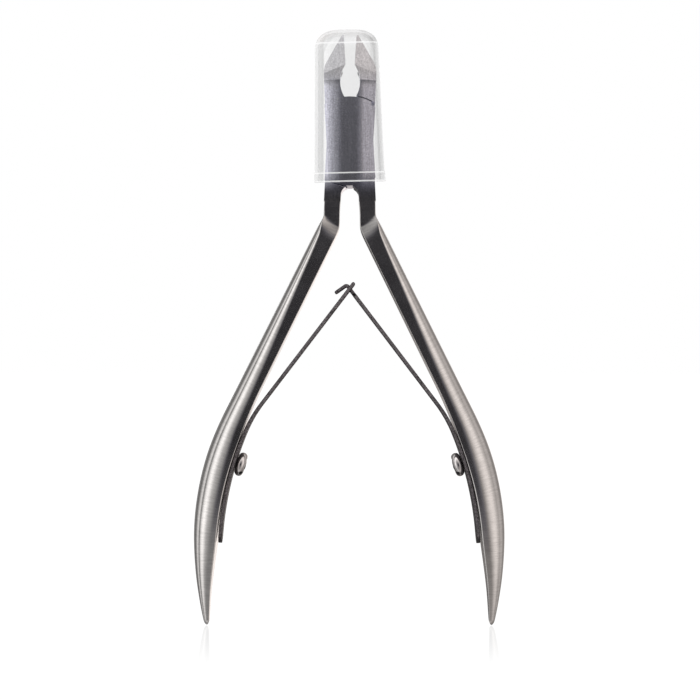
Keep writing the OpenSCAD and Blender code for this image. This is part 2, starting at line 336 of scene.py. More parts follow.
def plate_steel():
    """The joint and the jaws, ground lengthwise, with the lap plate's sides falling away a little."""
    material, n = new_material("plate_steel")
    place_at = n.place_at()
    normal = n.normal()
    height = n.math("SUBTRACT", n.part(place_at, "Z"), PIVOT_Z * MM)
    lines = n.noise(n.scaled(place_at, 4500, 4500, 300), 1.0, 5.0, 0.7)
    grain = n.noise(place_at, 4200.0, 2.0)
    cloud = n.noise(place_at, 420.0, 3.0)
    lean = plate_lean(n, n.part(place_at, "X"), height, normal)
    steep = n.remap(n.part(normal, "Z"), 0.27, 0.31, 0.0, 0.012)
    crowned = n.vmath("ADD", normal, n.add("ShaderNodeCombineXYZ", {"X": lean, "Z": steep}).outputs[0])
    shade = n.math("MULTIPLY", n.spread_range(lines, 0.76, 1.1), n.spread_range(cloud, 0.94, 1.03))
    shade = n.math("MULTIPLY", shade, n.spread_range(grain, 0.82, 1.1))
    up_joint = n.remap(height, -10 * MM, 15 * MM)
    steel = n.ramp(up_joint, ((0.0, STEEL), (0.1, PLATE), (0.75, PLATE), (0.88, JAWS)))
    n.surface({
        "Base Color": n.tint(steel, shade),
        "Metallic": 1.0,
        "Roughness": n.remap(height, -10 * MM, -5 * MM, 0.14, 0.22),
        "Anisotropic": 0.3,
        "Tangent": (1.0, 0.0, 0.0),
        "Normal": n.bump(n.math("ADD", lines, grain), 0.25, 0.00002, n.vmath("NORMALIZE", crowned)),
    })
    return material


def spring_steel():
    """Dark rolled strip with a mottled, slightly scaly skin, and painted shade by facing: lighter on its cut
    edges turned to the front and back, darker on the rounded corners and broad faces.
    """
    material, n = new_material("spring_steel")
    place_at = n.place_at()
    mottle = n.noise(place_at, 3200.0, 4.0, 0.65)
    patch = n.noise(place_at, 500.0, 3.0)
    shade = n.math("MULTIPLY", n.spread_range(mottle, 0.35, 1.4), n.spread_range(patch, 0.85, 1.1))
    # Painted shade: faces turned away from the front and back are darkened, and those facing them are
    # lightened.
    edge_on = n.absolute(n.part(n.normal(), "Y"))
    shade = n.math("MULTIPLY", shade, n.remap(edge_on, 0.85, 0.99, 0.35, 1.2))
    n.surface({
        "Base Color": n.tint((0.3, 0.28, 0.295), shade),
        "Metallic": 0.9,
        "Roughness": n.spread_range(mottle, 0.36, 0.52),
        "Normal": n.bump(mottle, 0.5, 0.00004),
    })
    return material


def bright_steel():
    """Turned and polished screws, faintly marked by the tool."""
    material, n = new_material("bright_steel")
    place_at = n.place_at()
    marks = n.noise(place_at, 5200.0, 3.0, 0.6)
    patch = n.noise(place_at, 900.0, 3.0)
    n.surface({
        "Base Color": n.tint((0.9, 0.885, 0.89), n.spread_range(marks, 0.86, 1.03)),
        "Metallic": 1.0,
        "Roughness": n.spread_range(patch, 0.05, 0.12),
        "Normal": n.bump(marks, 0.3, 0.00002),
    })
    return material


def dark_steel():
    """The pivot screw, blued by hardening and rubbed bright in places."""
    material, n = new_material("dark_steel")
    place_at = n.place_at()
    marks = n.noise(n.scaled(place_at, 5000, 400, 700), 1.0, 4.0, 0.6)
    patch = n.noise(place_at, 700.0, 3.0)
    shade = n.math("MULTIPLY", n.spread_range(marks, 0.8, 1.08), n.spread_range(patch, 0.85, 1.1))
    n.surface({
        "Base Color": n.tint((0.56, 0.55, 0.58), shade),
        "Metallic": 1.0,
        "Roughness": n.spread_range(patch, 0.26, 0.4),
        "Normal": n.bump(marks, 0.3, 0.00002),
    })
    return material


def painted_slot_shade():
    """Painted shade for the inside of a screw's slot: near-black and rough, standing in for the shade deep in
    the slot.
    """
    material, n = new_material("painted_slot_shade")
    specks = n.noise(n.place_at(), 6000.0, 3.0)
    n.surface({
        "Base Color": n.tint((0.03, 0.028, 0.03), n.spread_range(specks, 0.5, 1.5)),
        "Roughness": 0.7,
        "Normal": n.bump(specks, 0.5, 0.00003),
    })
    return material


# Painted light and shade: how much light a wall's surface lets by, as it turns from the front to the side, on
# separate ramps for the cap's left and right halves.
LEFT_WALL_LIGHT = (
    (0.0, 1.0),
    (0.08, 0.955),
    (0.2, 0.905),
    (0.3, 0.91),
    (0.45, 0.935),
    (0.75, 0.925),
    (0.9, 0.96),
    (1.0, 1.0),
)
RIGHT_WALL_LIGHT = (
    (0.0, 1.0),
    (0.1, 0.96),
    (0.3, 0.935),
    (0.45, 0.965),
    (0.6, 0.89),
    (0.75, 0.82),
    (0.9, 0.92),
    (1.0, 1.0),
)


def clear_plastic(name, veil, edge_highlight):
    """Thin clear vinyl. Each face of the wall takes a little light as a faint white veil, and a painted
    highlight whitens it more towards its grazing edges. Painted light lets more through towards the sides and
    on the dome, by left and right ramps, and the white skin glows a little.
    """
    material, n = new_material(name)
    place_at = n.place_at()
    normal = n.normal()
    haze = n.noise(place_at, 300.0, 3.0)
    marks = n.noise(n.scaled(place_at, 2500, 2500, 250), 1.0, 3.0)
    at_x = n.part(place_at, "X")
    # Painted light: the wall lets more by towards the cap's sides and on its dome, and by the left or right
    # ramp as it turns.
    painted_side_light = n.remap(n.absolute(at_x), 2.6 * MM, 4.4 * MM, 0.963, 0.995)
    painted_dome_light = n.remap(n.absolute(n.part(normal, "Z")), 0.15, 0.6, 0.0, 0.028)
    sideways = n.absolute(n.part(normal, "X"))
    right_half = n.math("GREATER_THAN", at_x, 0.0)
    rounded = n.mix(right_half, n.ramp(sideways, LEFT_WALL_LIGHT), n.ramp(sideways, RIGHT_WALL_LIGHT))
    # Painted highlight: white that grows towards the grazing edges, on top of the faint veil.
    grazing = n.add("ShaderNodeLayerWeight", {"Blend": 0.5}).outputs["Facing"]
    edge = n.math("MULTIPLY", n.math("POWER", grazing, 3.0), edge_highlight)
    white = n.math("MULTIPLY", n.math("ADD", edge, veil), n.spread_range(haze, 0.9, 1.1), clamp=True)
    let_by = n.vmath("MULTIPLY", n.math("ADD", painted_side_light, painted_dome_light), rounded)
    clear = n.add("ShaderNodeBsdfTransparent", {"Color": let_by})
    # Painted glow: the white skin gives off a little light of its own.
    skin = n.add("ShaderNodeBsdfPrincipled", {
        "Base Color": (0.97, 0.97, 0.97, 1),
        "Roughness": n.spread_range(haze, 0.08, 0.16),
        "Emission Color": (1, 1, 1, 1),
        "Emission Strength": 0.12,
        "Normal": n.bump(marks, 0.1, 0.00003),
    })
    mix = n.add("ShaderNodeMixShader", {0: white, 1: clear.outputs[0], 2: skin.outputs[0]})
    n.add("ShaderNodeOutputMaterial", {"Surface": mix.outputs[0]})
    return material


# ---------------------------------------------------------------- the two halves

# The pose where the handle starts, and the (length, turn) steps of the path down it.
NECK = (2.43, -9.5, -0.1)
HANDLE_PATH = ((3.2, 0), (2.6, 23.1), (35.4, 0), (22.6, -24), (14.9, -7.7))
HANDLE_LEN = 78.7
JOINT_T = 6
# Distance along the handle, thickness, width, and the flat edge as a share of the thickness.
HANDLE_ROWS = (
    (0, 2.854, 5.994, 0.97),
    (3.4, 2.86, 6, 0.96),
    (5.4, 3.58, 6.4, 0.84),
    (7.6, 3.69, 6.8, 0.69),
    (16, 3.72, 6.9, 0.54),
    (30, 3.81, 7.4, 0.3),
    (42, 3.94, 8, 0.16),
    (50, 4.22, 8.4, 0.08),
    (58, 4.07, 8.1, 0.07),
    (64, 3.68, 7, 0.13),
    (70, 2.83, 5.1, 0.22),
    (75, 1.75, 3.1, 0.26),
    (77.5, 1.12, 1.9, 0.27),
    (HANDLE_LEN, 0.78, 1.3, 0.28),
)
# The grinding of the neck runs out in a curve, lower on the inside, and the handle swells below it.
RUNOUT_OUTER = 2.45
RUNOUT_DROP = 2.45
SWELL_SLOPE = 0.23
SWELL_EASE = (0.6, 3.2)
# Where the ground faces' depth gives way to the rows' width.
ROWS_TAKE_OVER = (5.5, 9.5)
GRIND_INSET = 0.003
# The crown's least height at the neck, how much that grows and where, and its greatest share of
# the thickness.
LEAST_CROWN = 0.1
LEAST_CROWN_MORE = 0.2
LEAST_CROWN_GROWS = (1.5, 4)
MOST_CROWN = 0.97
# How far the inner face swells towards the leaf that is screwed down on it, and where that starts and ends.
SEAT_SWELL = 0.38
SEAT_SWELLS = (36, 46)
SEAT_FADES = (62, 74)
# The rounding of the inner corners, and what is added to it beside the leaf.
CORNER_R = 0.08
CORNER_MORE = 0.12
CORNER_GROWS = (44, 56)
CORNER_SHRINKS = (70, 76)
# The points across half the inner face, along the flat edge, round a corner and over half the crown.
INNER_SHARES = (0, 0.3, 0.6, 0.85, 0.97)
LAND_SHARES = (0.04, 0.2, 0.4, 0.6, 0.8, 0.93)
CORNER_STEPS = 4
CROWN_STEPS = 26
# The crown's points are spread by how fast the surface turns, in this share, and evenly in the rest.
BY_TURN = 0.6
NEARLY_SQUARE = 1.5707
TIP_ROUND = 0.9
# Millimetres to one unit of the run map, along the handle and round it.
RUN_ALONG = 100
RUN_ROUND = 20
# The depth from the leaf's middle and the radius of the rings of the spring's seat.
SEAT_RINGS = ((-1.6, 1.9), (-0.5, 1.9), (-0.45, 1.86))
SEAT_STEPS = 40
# Where along the handle the CAD's joint is cut off and the drawn handle takes over.
CUT_S = 0.95
# The joint's faces count as one where they turn less than this, and as corners or creases above it.
FLAT_TURN = 0.7
CREASE_TURN = 3
CORNER_TURN = 22
EDGE_SOFT = 0.05
WIDE_FACE = 0.3
# Faces ground on the front and the back have normals at least this far along Y.
GROUND_FACING = 0.85


def half_depth(s, share):
    """Half the handle's depth at distance s, a share of the way from its inner face to its outer one."""
    runout = RUNOUT_OUTER + RUNOUT_DROP * math.sqrt(max(0, 1 - share * share))
    a, b = SWELL_EASE
    past = min(max(0, s - runout), b)
    eased = max(0, (past - a) / (b - a))
    swell = SWELL_SLOPE * (past - (b - a) * (eased**3 - eased**4 / 2))
    ground = JOINT_T / 2 - GRIND_INSET + swell
    return ground + (smooth(HANDLE_ROWS, s, 2) / 2 - ground) * ease(*ROWS_TAKE_OVER, s)


def handle_section(s):
    """The handle's outline at distance s, as (across, depth) points from the middle of the inner face."""
    t = smooth(HANDLE_ROWS, s, 1)
    w = smooth(HANDLE_ROWS, s, 2)
    least_crown = LEAST_CROWN + LEAST_CROWN_MORE * ease(*LEAST_CROWN_GROWS, s)
    crown = min(max(t * (1 - smooth(HANDLE_ROWS, s, 3)), least_crown), t * MOST_CROWN)
    r = min(CORNER_R + CORNER_MORE * ease(*CORNER_GROWS, s) * (1 - ease(*CORNER_SHRINKS, s)), t / 8)
    inner = -t / 2
    front = -w / 2
    edge = inner + t - crown
    inner -= SEAT_SWELL * ease(*SEAT_SWELLS, s) * (1 - ease(*SEAT_FADES, s))
    points = [(inner, (front + r) * share) for share in INNER_SHARES]
    for i in range(CORNER_STEPS + 1):
        a = math.pi / 2 * i / CORNER_STEPS
        points.append((inner + r - r * math.cos(a), front + r - r * math.sin(a)))
    land = edge - inner - r
    points += [(inner + r + land * share, front) for share in LAND_SHARES]
    for i in range(CROWN_STEPS + 1):
        even = math.pi / 2 * i / CROWN_STEPS
        by_turn = math.atan(math.tan(min(even, NEARLY_SQUARE)) * 2 * crown / w)
        a = (1 - BY_TURN) * even + BY_TURN * by_turn
        points.append((edge + crown * math.sin(a), front * math.cos(a)))
    points += [(x, -y) for x, y in points[-2:0:-1]]
    shaped = []
    for x, y in points:
        share = min(max(x / t + 0.5, 0), 1)
        shaped.append((x, y * half_depth(s, share) / (w / 2)))
    return shaped


def add_handle(bm, side):
    """The handle, drawn as sections along its path down to its rounded end."""
    stations = spread(0.3, 1.6, 0.4)[:-1] + spread(1.6, 9.6, 0.08)[:-1]
    stations += spread(9.6, HANDLE_LEN - 3, 0.35)[:-1]
    stations += spread(HANDLE_LEN - 3, HANDLE_LEN - TIP_ROUND, 0.2)[:-1]
    stations += [HANDLE_LEN - TIP_ROUND * (1 - math.sin(math.radians(a))) for a in range(0, 86, 12)]
    rings = []
    lays = []
    uvs = []
    for s in stations:
        x0, z0, heading = along(NECK, HANDLE_PATH, s)
        a = math.radians(heading)
        past = max(0, (s - (HANDLE_LEN - TIP_ROUND)) / TIP_ROUND)
        shrink = math.sqrt(max(0.02, 1 - past * past))
        ring = []
        uv_row = []
        round_it = 0.0
        previous = None
        for across, depth in handle_section(s):
            across *= shrink
            depth *= shrink
            if previous:
                round_it += math.hypot(across - previous[0], depth - previous[1])
            previous = (across, depth)
            ring.append(place(x0 + across * math.cos(a), depth, z0 + across * math.sin(a), side))
            uv_row.append((s / RUN_ALONG, round_it / RUN_ROUND))
        uv_row.append((s / RUN_ALONG, (round_it + 0.3) / RUN_ROUND))
        rings.append(ring)
        uvs.append(uv_row)
        lays.append(place(math.sin(a), 0, -math.cos(a), side) - place(0, 0, 0, side))
    add_rings(bm, rings, lays, uvs)


def add_seat(bm, side):
    """The little flat on the handle that the spring is screwed down on."""
    matrix = screw_matrix(side)
    rings = []
    for depth, r in SEAT_RINGS:
        ring = []
        for i in range(SEAT_STEPS):
            a = 2 * math.pi * i / SEAT_STEPS
            ring.append(matrix @ Vector((r * math.cos(a) * MM, r * math.sin(a) * MM, depth * MM)))
        rings.append(ring)
    add_rings(bm, rings)


def is_ground(face):
    """True for the faces ground on the front and the back."""
    return abs(face.normal.y) > GROUND_FACING


def is_sharp(edge):
    """True for the joint's corners, and for the creases between two ground faces."""
    turn = math.degrees(edge.calc_face_angle())
    both_ground = all(is_ground(face) for face in edge.link_faces)
    return turn > CORNER_TURN or (both_ground and turn > CREASE_TURN)


def add_head(bm, node, side):
    """The joint, the jaw and the neck, from the CAD node's surface, with its edges softened."""
    head = bmesh.new()
    head.from_mesh(node.data)
    head.verts.layers.float_vector.new("lay")
    bmesh.ops.remove_doubles(head, verts=head.verts, dist=0.002 * MM)
    x, z, _ = along(NECK, HANDLE_PATH, CUT_S)
    point = place(x, 0, z, side)
    up = place(x, 0, z + 1, side) - point
    parts = list(head.verts) + list(head.edges) + list(head.faces)
    bmesh.ops.bisect_plane(head, geom=parts, dist=1e-7, plane_co=point, plane_no=up, clear_inner=True)
    flat = math.radians(FLAT_TURN)
    bmesh.ops.dissolve_limit(head, angle_limit=flat, verts=head.verts, edges=head.edges)
    sharp = [e for e in head.edges if len(e.link_faces) == 2 and is_sharp(e)]
    soft = {"offset": EDGE_SOFT * MM, "segments": 2, "profile": 0.5, "affect": "EDGES"}
    bmesh.ops.bevel(head, geom=sharp, clamp_overlap=True, **soft)
    for face in head.faces:
        wide = face.calc_area() > (WIDE_FACE * MM) ** 2
        face.smooth = not (wide and is_ground(face))
        face.material_index = 1
    mesh = bpy.data.meshes.new("head")
    head.to_mesh(mesh)
    head.free()
    bm.from_mesh(mesh)
    bpy.data.meshes.remove(mesh)


def make_half(name, node_name, side, body, materials):
    """One forging: its joint, jaw and handle, with a seat for the spring."""
    bm = bmesh.new()
    add_handle(bm, side)
    add_seat(bm, side)
    add_head(bm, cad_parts[node_name], side)
    half = new_piece(name, bm, *materials)
    weigh_normals(half)
    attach(half, body)
    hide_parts(node_name)
    return half


# ---------------------------------------------------------------- the leaf springs

LEAF_T = 0.62
# The pose at the crossing, and the (length, turn) steps of the path down the leaf.
LEAF_START = (0, -25.25, 37.3)
LEAF_PATH = ((24.95, 0), (5.9, -14.8), (19.6, -19.7))
LEAF_LEN = 50.45
LEAF_TOP = 1.3
LEAF_TOP_W = 4.2
LEAF_W = 5
LEAF_TAIL_W = 4
TONGUE_W = 2
SLOT_W = 2.4
SLOT_ABOVE = 0.75
SLOT_BELOW = 1.25
# How far below the crossing the tongue widens into the leaf, in height, and over what distance either side.
SHOULDER_DROP = 0.95
SHOULDER_EASE = (-0.15, 0.45)
HOOK_START = (0, -25.25, 37.3 + 180)
HOOK_PATH = ((0.45, 0), (0.6, 88), (2.1, 0))
HOOK_LEN = 3.15
# Where the screw is, and where the leaf starts to widen towards it.
SCREW_S = 36.25
WIDEN_S = 5
# Two distances down the leaf; make_leaf works out the points there but does not use them.
BEND_FROM = 33
BEND_TO = 18
STRIP_R = 0.2
END_ROUND = 0.3


def leaf_width(s, tongue):
    """The leaf's width at distance s below the crossing."""
    tail_from = LEAF_LEN - LEAF_TAIL_W / 2
    if s > tail_from:
        return LEAF_TAIL_W * math.sqrt(max(0.004, 1 - ((s - tail_from) / (LEAF_TAIL_W / 2)) ** 2))
    if s > SCREW_S:
        return LEAF_W + (LEAF_TAIL_W - LEAF_W) * (s - SCREW_S) / (tail_from - SCREW_S)
    if s > WIDEN_S:
        return LEAF_TOP_W + (LEAF_W - LEAF_TOP_W) * (s - WIDEN_S) / (SCREW_S - WIDEN_S)
    if not tongue:
        return LEAF_TOP_W
    shoulder = SHOULDER_DROP / math.cos(math.radians(LEAF_START[2]))
    above, below = SHOULDER_EASE
    return TONGUE_W + (LEAF_TOP_W - TONGUE_W) * ease(shoulder + above, shoulder + below, s)


def leaf_ring(pose, width, thickness, side):
    """A rounded strip section square to the leaf."""
    x0, z0, heading = pose
    a = math.radians(heading)
    r = min(STRIP_R, thickness * 0.4, width * 0.4)
    corners = (
        (thickness / 2 - r, width / 2 - r, 0),
        (r - thickness / 2, width / 2 - r, 90),
        (r - thickness / 2, r - width / 2, 180),
        (thickness / 2 - r, r - width / 2, 270),
    )
    ring = []
    for across, depth, turn in corners:
        for i in range(5):
            b = math.radians(turn + 22.5 * i)
            u = across + r * math.cos(b)
            v = depth + r * math.sin(b)
            ring.append(place(side * (x0 + u * math.cos(a)), v, z0 + u * math.sin(a)))
    return ring


def end_trim(left):
    """How much of the section is left, at a distance from a rounded end."""
    short = max(0, 1 - left / END_ROUND)
    return math.sqrt(max(0.03, 1 - short * short))


def leaf_end_ring(pose, width, trim, side):
    """A section near a leaf's end, narrower and thinner as trim falls from 1."""
    return leaf_ring(pose, width - 0.5 * (1 - trim), LEAF_T * (0.3 + 0.7 * trim), side)


def leaf_rings(side):
    """The leaf's sections: the right one's hook or the left one's plain top, then down to the tail."""
    tongue = side > 0
    rings = []
    if tongue:
        for d in spread(0, HOOK_LEN, 0.05)[:0:-1]:
            x, z, heading = along(HOOK_START, HOOK_PATH, d)
            rings.append(leaf_end_ring((x, z, heading - 180), TONGUE_W, end_trim(HOOK_LEN - d), side))
    else:
        for d in spread(0, LEAF_TOP, 0.05)[:0:-1]:
            pose = walk(LEAF_START, -d, 0)
            rings.append(leaf_end_ring(pose, LEAF_TOP_W, end_trim(LEAF_TOP - d), side))
    stations = spread(0, 3, 0.05)[:-1] + spread(3, LEAF_LEN - 2, 0.3)[:-1]
    stations += [LEAF_LEN - 2 + 2 * math.sin(math.radians(a)) for a in range(0, 90, 5)]
    for s in stations:
        rings.append(leaf_ring(along(LEAF_START, LEAF_PATH, s), leaf_width(s, tongue), LEAF_T, side))
    return rings


def make_leaf(name, node_name, side, material):
    """A leaf spring. The left one has the slot that the right one's hook goes through."""
    bm = bmesh.new()
    add_rings(bm, leaf_rings(side))
    leaf = new_piece(name, bm, material)
    if side < 0:
        down = math.radians(LEAF_START[2])
        middle = (SLOT_ABOVE - SLOT_BELOW) / 2
        centre = place(middle * math.sin(down), 0, LEAF_START[1] + middle * math.cos(down))
        turn = Matrix.Rotation(math.radians(LEAF_START[2]), 4, "Y")
        slot_size = (4, SLOT_W, SLOT_ABOVE + SLOT_BELOW)
        cut_away(leaf, box_cutter(slot_size, Matrix.Translation(centre) @ turn))
    weigh_normals(leaf)
    x1, z1, _ = along(LEAF_START, LEAF_PATH, BEND_FROM)
    x2, z2, _ = along(LEAF_START, LEAF_PATH, BEND_TO)
    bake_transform(leaf)
    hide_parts(node_name)
    return leaf


# ---------------------------------------------------------------- screws

SHANK_R = 0.95
SCREW_DEPTH = 3.3
HEAD_R = 2.1
HEAD_H = 1.65
HEAD_CLEAR = 0.12
RIM_R = 0.75
SCREW_TURN = 45
# The box that cuts the slot, and how deep it goes.
SLOT_BOX = (0.8, 6, 2)
SLOT_DEEP = 0.75
SLOT_EDGE_TURN = 35
CHAMFER = 0.2
THREAD_CUT = 0.06
DOME_H = 0.3
DOME_STEPS = 12
# The back face that the pivot screw's head is level with, and the screw's own sizes.
FACE_Y = 3
PIVOT_R = 1.6
PIVOT_HEAD_R = 2.6
PIVOT_HEAD_H = 1.1
PIVOT_SLOT_BOX = (6, 0.55, 2)
PIVOT_SLOT_DEEP = 0.5
THREAD_R = 1.2
THREAD_DEPTH = 2.1


def screw_matrix(side):
    """Stands a screw's axis square to its handle's leaf, with its head to the inside."""
    x, z, heading = along(LEAF_START, LEAF_PATH, SCREW_S)
    turn = Matrix.Rotation(math.radians(-90 - heading), 4, "Y")
    if side < 0:
        turn = Matrix.Rotation(math.radians(90 + heading), 4, "Y") @ Matrix.Rotation(math.pi, 4, "Z")
    return Matrix.Translation(place(side * x, 0, z)) @ turn


def turned(name, profile, matrix, materials, steps=96):
    """A solid of revolution from a profile of (radius, height) points, stood on its matrix."""
    bm = bmesh.new()
    rings = []
    for r, h in profile:
        ring = []
        for i in range(steps):
            a = 2 * math.pi * i / steps
            ring.append(matrix @ (Vector((r * math.cos(a), r * math.sin(a), h)) * MM))
        rings.append(ring)
    add_rings(bm, rings)
    return new_piece(name, bm, *materials)


def spring_screw_profile(base):
    """A shank with a light thread, and a round head on base with a low dome inside its rim."""
    foot = -LEAF_T / 2 - SCREW_DEPTH
    profile = [(SHANK_R - CHAMFER, foot), (SHANK_R, foot + CHAMFER)]
    thread = spread(foot + 0.4, -LEAF_T / 2 - 0.3, 0.1)
    profile += [(SHANK_R - THREAD_CUT * (i % 2), h) for i, h in enumerate(thread)]
    profile += [(SHANK_R, base + 0.03)]
    for a in range(-80, 91, 8):
        b = math.radians(a)
        profile.append((HEAD_R + RIM_R * (math.cos(b) - 1), base + RIM_R * (math.sin(b) + 1)))
    rim_r, rim_z = profile[-1]
    profile += [(rim_r - 0.06, rim_z - 0.04), (rim_r - 0.12, rim_z - 0.12)]
    for i in range(1, DOME_STEPS):
        t = 1 - i / DOME_STEPS
        profile.append(((rim_r - 0.14) * t, rim_z - 0.14 + DOME_H * (1 - t * t)))
    return profile


def make_spring_screw(name, node_name, side, body, materials):
    """A slotted round-head screw through a leaf into its handle."""
    base = LEAF_T / 2 + HEAD_CLEAR
    matrix = screw_matrix(side)
    screw = turned(name, spring_screw_profile(base), matrix, materials)
    turn = Matrix.Rotation(math.radians(-SCREW_TURN * side), 4, "Z")
    slot_at = Matrix.Translation((0, 0, (base + HEAD_H + SLOT_BOX[2] / 2 - SLOT_DEEP) * MM)) @ turn
    # The slot's cut faces take material slot 1, the painted shade of its inside.
    cut_away(screw, box_cutter(SLOT_BOX, matrix @ slot_at, 1))
    finish_screw(screw, node_name, body)
    return screw


def make_pivot_screw(name, node_name, body, materials):
    """A screw with a shank, a shorter thread and a countersunk head level with the back face."""
    top = FACE_Y - 0.03
    profile = [
        (THREAD_R - CHAMFER, -THREAD_DEPTH),
        (THREAD_R, CHAMFER - THREAD_DEPTH),
        (THREAD_R, -0.02),
        (PIVOT_R - 0.05, -0.02),
        (PIVOT_R, 0.03),
        (PIVOT_R, FACE_Y - PIVOT_HEAD_H),
        (PIVOT_HEAD_R - 0.08, top - 0.06),
        (PIVOT_HEAD_R - 0.07, top - 0.02),
        (PIVOT_HEAD_R - 0.13, top),
        (1.2, top),
        (0.3, top),
    ]
    matrix = Matrix.Translation(place(0, 0, 0)) @ Matrix.Rotation(math.radians(-90), 4, "X")
    screw = turned(name, profile, matrix, materials)
    slot_at = Matrix.Translation((0, 0, (top + PIVOT_SLOT_BOX[2] / 2 - PIVOT_SLOT_DEEP) * MM))
    # The slot's cut faces take material slot 1, the painted shade of its inside.
    cut_away(screw, box_cutter(PIVOT_SLOT_BOX, matrix @ slot_at, 1))
    finish_screw(screw, node_name, body)
    return screw


def finish_screw(screw, node_name, body):
    """Softens the slot's edges and shades the rest round."""
    bevel = screw.modifiers.new("soft edges", "BEVEL")
    bevel.width = EDGE_SOFT * MM
    bevel.segments = 2
    bevel.limit_method = "ANGLE"
    bevel.angle_limit = math.radians(SLOT_EDGE_TURN)
    for face in screw.data.polygons:
        face.use_smooth = True
    weigh_normals(screw)
    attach(screw, body)
    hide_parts(node_name)


# ---------------------------------------------------------------- the tip cap

CAP_W = 12.1
CAP_D = 8.4
CAP_H = 26.5
CAP_Z = -7.15
CAP_LEAN = 1.4
CAP_DRAFT = 0.66
CAP_ROUND = 3.4
CAP_EDGE_ROUND = 1.6
CAP_WALL = 0.5
CAP_RIM_H = 1.7
CAP_RIM_T = 0.1
CAP_TOP_ROUND = 2.7
# The open end is this much higher at the back, which fades out over the given height.
CAP_BACK_RISE = 0.8
CAP_RISE_FADES = 6
# Only faces turned this far to the front, along -Y, keep the painted highlight lines.
HIGHLIGHT_FACING = -0.3


def cap_ring(h, inset, top, matrix):
    """The cap's rounded-rectangle section at height h, drawn in by inset."""
    half_w = CAP_W / 2 - inset - CAP_DRAFT * h / CAP_H
    half_d = CAP_D / 2 - inset
    side_r = CAP_ROUND - inset
    edge_r = CAP_EDGE_ROUND - inset
    top_r = CAP_TOP_ROUND - inset
    above = h - (top - side_r)
    if above > 0:
        half_w -= side_r - math.sqrt(max(0, side_r**2 - above**2))
    above = h - (top - top_r)
    if above > 0:
        half_d -= top_r - math.sqrt(max(0, top_r**2 - above**2))
    r = min(edge_r, half_w, half_d)
    ring = []
    for cx, cy, turn in ((1, 1, 0), (-1, 1, 90), (-1, -1, 180), (1, -1, 270)):
        for i in range(11):
            a = math.radians(turn + 9 * i)
            x = cx * (half_w - r) + r * math.cos(a)
            y = cy * (half_d - r) + r * math.sin(a)
            rise = CAP_BACK_RISE * (y / CAP_D + 0.5) * (1 - ease(0, CAP_RISE_FADES, h))
            ring.append(matrix @ (Vector((x, y, h + rise)) * MM))
    return ring


def make_cap(name, node_name, body, materials):
    """The clear cap, open below, with painted highlight lines along the front of its rim and its shoulder."""
    turn = Matrix.Rotation(math.radians(-CAP_LEAN), 4, "Y")
    matrix = Matrix.Translation(place(0, 0, CAP_Z)) @ turn
    top = CAP_H
    shoulder = top - CAP_TOP_ROUND
    # Height, inset and material slot of each band up the outside; slot 1 is the painted highlight.
    outside = [
        (0, 0.06 - CAP_RIM_T, 0),
        (0.05, -CAP_RIM_T, 1),
        (0.3, -CAP_RIM_T, 0),
        (CAP_RIM_H - 0.2, -CAP_RIM_T, 1),
        (CAP_RIM_H - 0.05, -CAP_RIM_T, 1),
        (CAP_RIM_H + 0.03, -0.02, 0),
    ]
    outside += [(h, 0, 0) for h in spread(CAP_RIM_H + 0.1, top - CAP_ROUND, 1)]
    line_from = shoulder - 0.1
    curve = [top - CAP_ROUND * (1 - math.sin(math.radians(a))) for a in range(3, 91, 3)]
    for h in sorted(curve + [line_from]):
        on_line = abs(h - shoulder) < 0.11
        outside.append((h, 0, int(on_line)))
    inner_top = top - CAP_WALL
    inner_r = CAP_ROUND - CAP_WALL
    inside = [0, 0.05] + spread(1, inner_top - inner_r, 1)
    inside += [inner_top - inner_r * (1 - math.sin(math.radians(a))) for a in range(3, 91, 3)]
    inner = [cap_ring(h, CAP_WALL, inner_top, matrix) for h in inside]
    outer = [cap_ring(h, inset, top, matrix) for h, inset, _ in outside]
    bm = bmesh.new()
    add_rings(bm, inner[::-1] + outer, slots=[0] * len(inner) + [slot for _, _, slot in outside])
    cap = new_piece(name, bm, *materials)
    for face in cap.data.polygons:
        if face.normal.y > HIGHLIGHT_FACING:
            face.material_index = 0
    weigh_normals(cap)
    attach(cap, body)
    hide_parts(node_name)
    cap.visible_glossy = False
    return cap


# ---------------------------------------------------------------- build

steel = (handle_steel(), plate_steel())
make_half("front_half", "front_half", 1, "right_handle", steel)
make_half("back_half", "back_half", -1, "left_handle", steel)
strip = spring_steel()
make_leaf("left_leaf", "left_leaf_spring", -1, strip)
make_leaf("right_leaf", "right_leaf_spring", 1, strip)
# Near-black painted shade for the cut faces inside the screw slots.
slot_shade = painted_slot_shade()
bright = (bright_steel(), slot_shade)
make_spring_screw("left_screw", "left_spring_screw", -1, "left_handle", bright)
make_spring_screw("right_screw", "right_spring_screw", 1, "right_handle", bright)
make_pivot_screw("pivot_pin", "pivot_screw", "right_handle", (dark_steel(), slot_shade))
# The second look paints the highlight lines: a clear wall whitened nearly opaque.
cap_looks = (clear_plastic("clear_plastic", 0.03, 0.5), clear_plastic("painted_highlight_lines", 0.62, 0.6))
make_cap("clear_tip_cap", "tip_cap", "cap", cap_looks)


# ---------------------------------------------------------------- floor, studio and camera

# The brightest light in the studio, which the ramps below count as 1.
BRIGHTEST = 1.3
COOL = (1.0, 0.945, 1.04)
WARM_LEFT = (1.0, 0.965, 0.945)
WARM_RIGHT = (1.0, 0.915, 0.87)
# What is left of the light that comes up from the table.
LOW_LIGHT = 0.5
